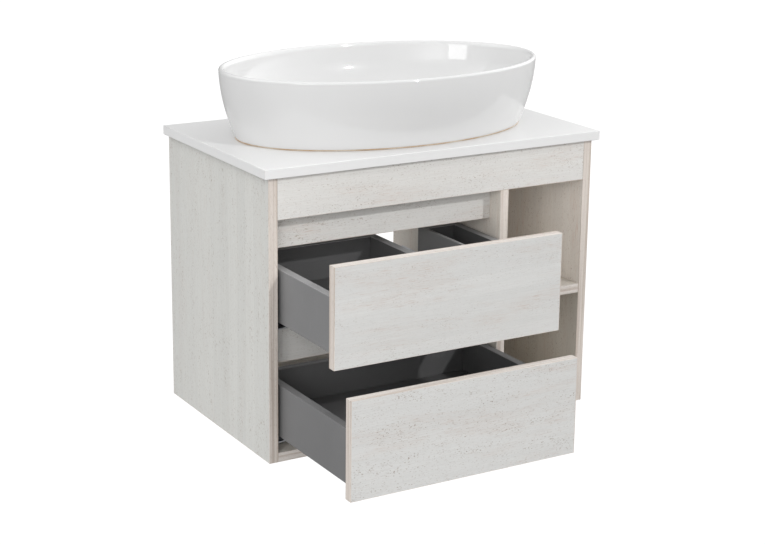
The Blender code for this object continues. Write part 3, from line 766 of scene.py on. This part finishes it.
def make_worktop():
    """The worktop with rounded edges and its waste hole, joined by a ring of bridging faces."""
    low, high = box_of("worktop")
    centre = BASIN_CENTRE
    shape = bmesh.new()
    count = WORKTOP_POINTS
    turns = [math.tau * (step + 0.5) / count for step in range(count)]
    compass = [Vector((math.cos(turn), math.sin(turn))) for turn in turns]

    def frame_loop(inset, level):
        """Points round the outline, one for each point round the hole."""
        left, right, front, back = low.x + inset, high.x - inset, low.y + inset, high.y - inset
        points = []
        for direction in compass:
            reach = min(
                ((right if direction.x > 0 else left) - centre.x) / direction.x,
                ((back if direction.y > 0 else front) - centre.y) / direction.y,
            )
            points.append(Vector((*(centre.xy + direction * reach), level)))
        for x, y in ((left, front), (left, back), (right, front), (right, back)):
            corner = Vector((x, y, level))
            nearest = min(range(count), key=lambda number: (points[number] - corner).length)
            points[nearest] = corner
        return [shape.verts.new(point) for point in points]

    edge, rounding = WORKTOP_EDGE, quarter(ROUND_STEPS)
    loops = [frame_loop(edge * across, low.z + edge * up) for across, up in rounding]
    loops += [frame_loop(edge * up, high.z - edge * across) for across, up in rounding]
    for level in (high.z, low.z):
        hole = [centre.xy + direction * WORKTOP_HOLE for direction in compass]
        loops.append([shape.verts.new((*point, level)) for point in hole])
    join_loops(shape, loops)
    shape.normal_update()
    for face in shape.faces:
        face.smooth = max(abs(part) for part in face.normal) < 0.9999
    finish_piece("worktop", shape, [LACQUER], smooth=False)


make_worktop()


# ---------------- fittings
# Turned pieces: points round a plain one and round each flute, steps round a softened corner, and
# the radius under which a point is on the axis.
TURN_SEGMENTS = 72
FLUTE_SEGMENTS = 6
CORNER_STEPS = 3
ON_AXIS = 0.00001


def softened(profile, radius):
    """A closed outline with its corners rounded, apart from those on the axis."""
    points = [Vector(point) for point in profile]
    rounded = []
    for number, corner in enumerate(points):
        before, after = points[number - 1] - corner, points[(number + 1) % len(points)] - corner
        reach = min(radius, before.length * 0.45, after.length * 0.45)
        if corner.x < ON_AXIS:
            rounded.append(corner)
            continue
        start, end = corner + before.normalized() * reach, corner + after.normalized() * reach
        for step in range(CORNER_STEPS + 1):
            share = step / CORNER_STEPS
            rounded.append(start * (1 - share) ** 2 + corner * 2 * share * (1 - share) + end * share**2)
    return rounded


def turned(shape, profile, centre, axis, flutes=None):
    """Adds a body turned about an axis. flutes is (radius they start beyond, depth, count)."""
    def spot(radius, along, angle):
        if flutes and radius > flutes[0]:
            radius -= flutes[1] * (0.5 - 0.5 * math.cos(flutes[2] * angle)) ** 2
        values = [radius * math.cos(angle), radius * math.sin(angle)]
        values.insert(axis, along)
        return Vector(centre) + Vector(values)

    segments = flutes[2] * FLUTE_SEGMENTS if flutes else TURN_SEGMENTS
    loops = []
    for radius, along in profile:
        count = segments if radius > ON_AXIS else 1
        turns = [math.tau * step / segments for step in range(count)]
        loops.append([shape.verts.new(spot(radius, along, angle)) for angle in turns])
    join_loops(shape, loops)


def threaded(outer, depth, start, end, pitch):
    """Points of a thread's outline between two heights."""
    count = max(1, round(abs(end - start) / pitch))
    turn = (end - start) / count
    points = []
    for step in range(count):
        base = start + turn * step
        points += [(outer, base + turn * 0.25), (outer - depth, base + turn * 0.75)]
    return points


# Screw heads: the rings and spokes of their mesh, and the cross recess (its half-width and reach as
# shares of the radius, and how high its floor is as a share of the head).
HEAD_RINGS = 10
HEAD_SPOKES = 32
RECESS_WIDE = 0.14
RECESS_REACH = 0.62
RECESS_HIGH = 0.35


def screw_head(shape, centre, outward, radius=0.0034, tall=0.0014):
    """Adds a pan head with a cross recess, standing on a face that looks outward."""
    turn = Vector(outward).to_track_quat("Z", "Y")

    def spot(x, y, high):
        return shape.verts.new(Vector(centre) + turn @ Vector((x * radius, y * radius, tall * high)))

    loops = [[spot(0.0, 0.0, RECESS_HIGH)]]
    for ring in range(1, HEAD_RINGS + 1):
        share = ring / HEAD_RINGS
        loop = []
        for spoke in range(HEAD_SPOKES):
            angle = math.tau * (spoke + 0.5) / HEAD_SPOKES
            x, y = share * math.cos(angle), share * math.sin(angle)
            recess = min(abs(x), abs(y)) < RECESS_WIDE and max(abs(x), abs(y)) < RECESS_REACH
            loop.append(spot(x, y, RECESS_HIGH if recess else math.sqrt(max(0.0, 1.0 - share**3))))
        loops.append(loop)
    for loop, onward in zip(loops, loops[1:]):
        join_two(shape, loop, onward)
    shape.faces.new(list(reversed(loops[-1])))


def rounded_node(node, material, radius, more=None):
    """A piece with the node's own outline, rounded edges and anything else that more adds."""
    shape = node_faces(node)
    round_edges(shape, radius, 3, clamped=True)
    if more:
        more(shape, *box_of(node))
    finish_piece(node, shape, [material])


# Runners: sheet thickness, lip height, the drawer member's leg, the groove pressed along the cabinet
# member (share of its width, depth), where the screws are along the members, and how high or far in.
SHEET = 0.0018
LIP_TALL = 0.009
LEG_FROM_EDGE = 0.012
LEG_HALF = 0.0015
GROOVE = ((0.38, 0.0), (0.42, 0.0007), (0.58, 0.0007), (0.62, 0.0))
SCREWS = {"cabinet": (0.10, 0.42, 0.74, 0.93), "middle": (), "drawer": (0.10, 0.74, 0.93)}
CABINET_SCREW_HIGH = 0.0076
DRAWER_SCREW_IN = 0.019


def runner_outline(member, wide, tall):
    """A runner member's folded section, from its outer edge inwards and from its foot up."""
    if member == "cabinet":
        groove = [(wide * share, deep) for share, deep in GROOVE]
        inner = [(along, SHEET + high) for along, high in reversed(groove)]
        return (
            [(0.0, tall), (0.0, 0.0)] + groove
            + [(wide, 0.0), (wide, LIP_TALL), (wide - SHEET, LIP_TALL), (wide - SHEET, SHEET)]
            + inner + [(SHEET, SHEET), (SHEET, tall)]
        )
    if member == "middle":
        return [
            (0.0, tall), (0.0, 0.0), (wide, 0.0), (wide, tall),
            (wide - SHEET, tall), (wide - SHEET, SHEET), (SHEET, SHEET), (SHEET, tall),
        ]
    low, high = LEG_FROM_EDGE - LEG_HALF, LEG_FROM_EDGE + LEG_HALF
    plate = tall - SHEET
    return [
        (0.0, tall), (0.0, plate), (low, plate), (low, 0.0),
        (high, 0.0), (high, plate), (wide, plate), (wide, tall),
    ]


def make_runner(level, side, member):
    """One member of a runner: folded sheet with the heads of the screws that hold it."""
    node = f"{level}_runner_{member}_{side}"
    bodies = {"cabinet": "cabinet", "middle": f"{level}_runner_middle", "drawer": f"{level}_drawer"}
    low, high = box_of(node)
    start, sign = (low.x, 1.0) if side == "left" else (high.x, -1.0)
    outline = softened(runner_outline(member, high.x - low.x, high.z - low.z), 0.0009)
    section = [(start + sign * along, low.z + up) for along, up in outline]
    shape = bmesh.new()
    extruded(shape, section, Y, (low.y, high.y))
    for share in SCREWS[member]:
        deep = low.y + (high.y - low.y) * share
        if member == "cabinet":
            spot = (start + sign * SHEET, deep, low.z + CABINET_SCREW_HIGH)
            screw_head(shape, spot, (sign, 0.0, 0.0))
        else:
            spot = (start + sign * DRAWER_SCREW_IN, deep, high.z - SHEET)
            screw_head(shape, spot, (0.0, 0.0, -1.0), 0.0028, 0.0011)
    finish_piece(node, shape, [ZINC], bodies[member])


for drawer_level in ("upper", "lower"):
    for fitting_side in ("left", "right"):
        for runner_member in ("cabinet", "middle", "drawer"):
            make_runner(drawer_level, fitting_side, runner_member)


def make_clip(level, side):
    """The catch under a drawer floor: a moulded body with finger ridges and a release lever."""
    node = f"{level}_drawer_clip_{side}"
    low, high = box_of(node)
    middle = (low.x + high.x) / 2
    shape = bmesh.new()
    rounded_box(shape, low + Vector((0.0, 0.0, 0.0012)), high, 0.0012, 3)
    for step in range(6):
        deep = low.y + 0.004 + 0.0026 * step
        start = (low.x + 0.002, deep, low.z)
        rounded_box(shape, start, (high.x - 0.002, deep + 0.0014, low.z + 0.0020), 0.0004)
    start = (middle - 0.004, high.y - 0.0155, low.z)
    rounded_box(shape, start, (middle + 0.004, high.y - 0.0015, low.z + 0.0026), 0.0008)
    finish_piece(node, shape, [CLIP_PLASTIC], f"{level}_drawer")


def make_hanger(side):
    """A hooked hanger with its ribs and the two screws that set its height and depth."""
    def more(shape, low, high):
        middle = (low.x + high.x) / 2
        tall = high.z - low.z
        for share in (0.12, 0.88):
            across = low.x + (high.x - low.x) * share
            for foot, top in ((0.02, 0.24), (0.76, 0.98)):
                start = (across - 0.0014, low.y - 0.0016, low.z + tall * foot)
                rounded_box(shape, start, (across + 0.0014, low.y + 0.001, low.z + tall * top), 0.0006)
        for share in (0.13, 0.87):
            spot = (middle, low.y, low.z + tall * share)
            screw_head(shape, spot, (0.0, -1.0, 0.0), 0.0042, 0.0016)

    rounded_node(f"hanger_{side}", WHITE_PLASTIC, 0.0010, more)


for fitting_side in ("left", "right"):
    make_hanger(fitting_side)
    for drawer_level in ("upper", "lower"):
        make_clip(drawer_level, fitting_side)


# ---------------- waste and trap
def span_of(node, axis):
    """Outer radius and the two ends of a node that is turned about this axis."""
    low, high = box_of(node)
    return (high.x - low.x) / 2, low[axis], high[axis]


def turned_piece(node, material, slot, *parts, body="cabinet"):
    """A piece of turned bodies: each part is (profile, centre, axis), and its flutes if it has any."""
    shape = bmesh.new()
    for part in parts:
        turned(shape, *part)
    finish_piece(node, shape, [material], body)


# Waste and trap: their upright axis and radii, the flange's thickness, the threads, the gap round a
# pipe, how far in from the outside the flutes start, the plug's stem, dome and edge, and the
# rosette's thin edge.
WASTE_CENTRE = (BASIN_CENTRE.x, BASIN_CENTRE.y, 0.0)
WASTE_BORE = 0.016
WASTE_STEM = 0.020
STUB_RADIUS = 0.020
PIPE_BORE = 0.014
TRAP_BORE = 0.0235
FLANGE_THICK = 0.0025
THREAD_DEEP = 0.0008
THREAD_PITCH = 0.0016
PIPE_GAP = 0.0006
FLUTE_START = 0.002
PLUG_STEM = 0.005
PLUG_DOME = 0.0035
PLUG_EDGE = 0.0045
PLUG_STEPS = 16
ROSETTE_THIN = 0.0012
ROSETTE_STEPS = 14


def tube(bore, radius, start, end, turn):
    """A tube's outline between two ends."""
    return softened([(bore, start), (radius, start), (radius, end), (bore, end)], turn)


def nut_outline(bore, radius, start, end, bevel, turn):
    """A nut's outline: bevel is how far its far end is cut back along its axis and inwards."""
    return softened([
        (bore, start), (radius, start), (radius, end - bevel[0]), (radius - bevel[1], end), (bore, end),
    ], turn)


def white_piece(node, *parts):
    """A turned piece of white plastic."""
    turned_piece(node, WHITE_PLASTIC, "white_plastic", *parts)


def make_waste():
    """The waste with its flange and thread, its plug, its two seals and its nut."""
    flange, foot, top = span_of("waste_body", Z)
    under = top - FLANGE_THICK
    lip = [
        (WASTE_BORE, top - 0.0008), (WASTE_BORE + 0.0012, top),
        (flange - 0.0012, top), (flange, top - 0.0013),
    ]
    stem = [(flange, under), (WASTE_STEM, under)]
    thread = threaded(WASTE_STEM, THREAD_DEEP, under - 0.004, foot + 0.002, THREAD_PITCH)
    end = [(WASTE_STEM - THREAD_DEEP, foot), (WASTE_BORE, foot)]
    turned_piece("waste_body", CHROME, "chrome", (lip + stem + thread + end, WASTE_CENTRE, Z))

    radius, foot, top = span_of("waste_plug", Z)
    angles = [math.pi / 2 * step / PLUG_STEPS for step in reversed(range(PLUG_STEPS + 1))]
    dome = [(radius * math.cos(angle), top - PLUG_DOME * (1 - math.sin(angle))) for angle in angles]
    edge = top - PLUG_EDGE
    stem = [(PLUG_STEM, edge), (PLUG_STEM, foot + 0.001), (PLUG_STEM - 0.001, foot), (0.0, foot)]
    profile = dome + [(radius - 0.0006, edge)] + stem
    turned_piece("waste_plug", CHROME, "chrome", (profile, WASTE_CENTRE, Z), body="waste_plug")

    for node in ("waste_seal_upper", "waste_seal_lower"):
        radius, foot, top = span_of(node, Z)
        ring = tube(WASTE_STEM + 0.0003, radius, foot, top, 0.0005)
        turned_piece(node, RUBBER, "seal_rubber", (ring, WASTE_CENTRE, Z))
    rounded_node("waste_backnut", ZINC, 0.0010)


def make_trap_body(bore, outlet_centre):
    """The trap's body: a collar that holds the cup, and a threaded stub for the outlet."""
    radius, foot, top = span_of("trap_body", Z)
    collar = softened([
        (TRAP_BORE, foot), (radius, foot), (radius, top - 0.010), (radius - 0.0035, top - 0.004),
        (bore + 0.0049, top), (bore, top), (bore, top - 0.005), (TRAP_BORE, top - 0.005),
    ], 0.0012)
    ring = tube(radius - 0.001, radius, foot + 0.002, foot + 0.006, 0.0004)
    start, end = BASIN_CENTRE.y + TRAP_BORE + 0.0008, box_of("trap_body")[1].y
    root = STUB_RADIUS - THREAD_DEEP
    stub = [(bore, start), (STUB_RADIUS, start), (STUB_RADIUS, end - 0.016), (root, end - 0.015)]
    stub += threaded(STUB_RADIUS, THREAD_DEEP, end - 0.0145, end - 0.001, THREAD_PITCH)
    stub += [(root, end), (bore, end)]
    white_piece(
        "trap_body", (collar, WASTE_CENTRE, Z), (stub, outlet_centre, Y), (ring, WASTE_CENTRE, Z)
    )


def make_trap_cup():
    """The cup that unscrews from the trap, fluted for grip."""
    radius, foot, top = span_of("trap_cup", Z)
    neck = radius - 0.0025
    shell = softened([
        (0.0, foot + 0.0015), (0.008, foot), (radius - 0.007, foot), (neck, foot + 0.005),
        (neck, foot + 0.016), (radius, foot + 0.018), (radius, top), (TRAP_BORE, top),
        (TRAP_BORE, foot + 0.006), (0.0, foot + 0.005),
    ], 0.0014)
    white_piece("trap_cup", (shell, WASTE_CENTRE, Z, (radius - FLUTE_START, 0.0011, 30)))


def make_rosette(bore, outlet_centre):
    """The domed rosette that hides the hole in the wall."""
    outer, near, wall = span_of("wall_rosette", Y)
    deep = wall - near - ROSETTE_THIN
    swell = []
    for step in range(1, ROSETTE_STEPS + 1):
        angle = math.pi / 2 * step / ROSETTE_STEPS
        along = wall - ROSETTE_THIN - deep * math.cos(angle)
        swell.append((bore + (outer - bore) * math.sin(angle), along))
    profile = [(bore, wall), (bore, near + 0.0006), (bore + 0.0006, near)] + swell + [(outer, wall)]
    turned_piece("wall_rosette", CHROME, "chrome", (profile, outlet_centre, Y))


def make_trap():
    """The bottle trap between the waste and the wall: pipes, body, cup and fluted nuts."""
    radius, foot, top = span_of("waste_tailpiece", Z)
    white_piece("waste_tailpiece", (tube(PIPE_BORE, radius, foot, top, 0.0006), WASTE_CENTRE, Z))
    bore = radius + PIPE_GAP
    low, high = box_of("trap_outlet_nut")
    outlet_centre = (BASIN_CENTRE.x, 0.0, (low.z + high.z) / 2)
    make_trap_body(bore, outlet_centre)
    make_trap_cup()

    outer, foot, top = span_of("trap_inlet_nut", Z)
    nut = nut_outline(bore, outer, foot, top, (0.004, 0.006), 0.0012)
    white_piece("trap_inlet_nut", (nut, WASTE_CENTRE, Z, (outer - FLUTE_START, 0.0012, 24)))
    outer, near, far = span_of("trap_outlet_nut", Y)
    nut = nut_outline(bore, outer, near, far, (0.003, 0.004), 0.0010)
    white_piece("trap_outlet_nut", (nut, outlet_centre, Y, (outer - FLUTE_START, 0.0012, 20)))
    outer, near, far = span_of("outlet_pipe", Y)
    pipe = tube(PIPE_BORE, outer, near, far, 0.0005)
    white_piece("outlet_pipe", (pipe, outlet_centre, Y))
    make_rosette(radius + 0.0009, outlet_centre)


make_waste()
make_trap()


# ---------------- studio
# The white studio. The floor: its reach, height, shade, and what the camera sees added to it.
FLOOR_REACH = 40.0
FLOOR_LEVEL = -1.7
FLOOR_SHADE = 0.33
FLOOR_SEEN = 0.64
# The sky: its even brightness, and its soft bright lobes as (degrees right of the front, degrees
# above level, sharpness, brightness).
SKY_EVEN = 0.10
SKY_LOBES = (
    (24.5, 30.5, 80.0, 1.6),
    (-35.0, 7.0, 7.0, 1.12),
    (-28.0, 13.0, 40.0, 2.00),
    (-110.0, 40.0, 6.0, 1.98),
    (75.0, 8.0, 6.0, 1.80),
    (110.0, 6.0, 6.0, 1.20),
    (110.0, 40.0, 6.0, 0.90),
    (180.0, 20.0, 6.0, 0.25),
    (0.0, 90.0, 2.0, 0.45),
)
# The two lamps: a sun, and a softbox that faces the basin.
KEY_TOWARDS = (0.455, -1.0, 0.647)
KEY_STRENGTH = 0.95
KEY_SPREAD = 1.6
SOFTBOX_AZIMUTH = -46.5
SOFTBOX_ELEVATION = 9.0
SOFTBOX_DISTANCE = 2.6
SOFTBOX_SIZE = (0.80, 1.05)
SOFTBOX_GLOW = 5.0


def make_floor():
    """A pale floor that the camera sees as white."""
    mesh = bpy.data.meshes.new("studio_floor")
    turns = ((-1, -1), (1, -1), (1, 1), (-1, 1))
    corners = [(x * FLOOR_REACH, y * FLOOR_REACH, FLOOR_LEVEL) for x, y in turns]
    mesh.from_pydata(corners, [], [(0, 1, 2, 3)])
    floor = placed("studio_floor", mesh)
    paint = Paint("studio_floor_paint", roughness=0.8)
    cloud = paint.noise(0.3)
    paint.into("Base Color", tone(paint, (FLOOR_SHADE, FLOOR_SHADE, FLOOR_SHADE), cloud, 0.004))
    paint.into("Emission Color", (1.0, 1.0, 1.0))
    seen = paint.add("ShaderNodeLightPath").outputs["Is Camera Ray"]
    paint.into("Emission Strength", paint.times(seen, FLOOR_SEEN))
    mesh.materials.append(paint.material)


def aim(azimuth, elevation):
    """The direction this far right of the front and above level."""
    turn, rise = math.radians(azimuth), math.radians(elevation)
    return Vector((math.sin(turn) * math.cos(rise), -math.cos(turn) * math.cos(rise), math.sin(rise)))


def make_sky():
    """A studio that the camera sees as white all round, and that lights it with soft bright lobes."""
    world = bpy.data.worlds.new("studio")
    bpy.context.scene.world = world
    world.use_nodes = True
    sky = Nodes(world.node_tree)
    towards = sky.add("ShaderNodeTexCoord").outputs["Generated"]
    total = SKY_EVEN
    for azimuth, elevation, sharpness, brightness in SKY_LOBES:
        facing = sky.add("ShaderNodeVectorMath", operation="DOT_PRODUCT")
        sky.fill(facing, (0, 1), (towards, aim(azimuth, elevation)))
        lobe = sky.maths("POWER", sky.maths("MAXIMUM", facing.outputs["Value"], 0.0), sharpness)
        total = sky.plus(sky.times(lobe, brightness), total)
    seen = sky.add("ShaderNodeLightPath").outputs["Is Camera Ray"]
    background = sky.tree.nodes["Background"]
    background.inputs["Color"].default_value = (1.0, 1.0, 1.0, 1.0)
    sky.put(background.inputs["Strength"], sky.maths("MAXIMUM", total, seen))


def make_lamps():
    """The sun and the softbox."""
    key = bpy.data.lights.new("key", "SUN")
    key.energy = KEY_STRENGTH
    key.angle = math.radians(KEY_SPREAD)
    placed("key", key).rotation_euler = Vector(KEY_TOWARDS).to_track_quat("Z", "Y").to_euler()

    towards = aim(SOFTBOX_AZIMUTH, SOFTBOX_ELEVATION)
    softbox = bpy.data.lights.new("softbox", "AREA")
    softbox.shape = "RECTANGLE"
    softbox.size, softbox.size_y = SOFTBOX_SIZE
    softbox.energy = SOFTBOX_GLOW * math.pi * SOFTBOX_SIZE[0] * SOFTBOX_SIZE[1]
    lamp = placed("softbox", softbox)
    lamp.location = BASIN_CENTRE + towards * SOFTBOX_DISTANCE
    lamp.rotation_euler = towards.to_track_quat("Z", "Y").to_euler()


CAMERA_AT = (-1.5576, -2.8248, 0.6877)
CAMERA_YAW, CAMERA_PITCH, CAMERA_ROLL = 30.174, 14.981, 0.546
CAMERA_SENSOR, CAMERA_LENS, CAMERA_REACH = 36.0, 84.42, 200.0
CAMERA_SHIFT = (0.0218, -0.0573)


def make_camera():
    """The camera that the photograph was solved for."""
    data = bpy.data.cameras.new("camera")
    data.sensor_width = CAMERA_SENSOR
    data.lens = CAMERA_LENS
    data.shift_x, data.shift_y = CAMERA_SHIFT
    data.clip_end = CAMERA_REACH
    yaw, pitch, roll = (math.radians(value) for value in (CAMERA_YAW, CAMERA_PITCH, CAMERA_ROLL))
    ahead = Vector((math.sin(yaw) * math.cos(pitch), math.cos(yaw) * math.cos(pitch), -math.sin(pitch)))
    right = Vector((math.cos(yaw), -math.sin(yaw), 0.0))
    up = right.cross(ahead)
    level_right = math.cos(roll) * right + math.sin(roll) * up
    level_up = -math.sin(roll) * right + math.cos(roll) * up
    turn = Matrix((level_right, level_up, -ahead)).transposed()
    camera = placed("camera", data)
    camera.matrix_world = Matrix.Translation(CAMERA_AT) @ turn.to_4x4()
    bpy.context.scene.camera = camera


make_floor()
make_sky()
make_lamps()
make_camera()
bpy.context.scene.view_settings.view_transform = "Standard"
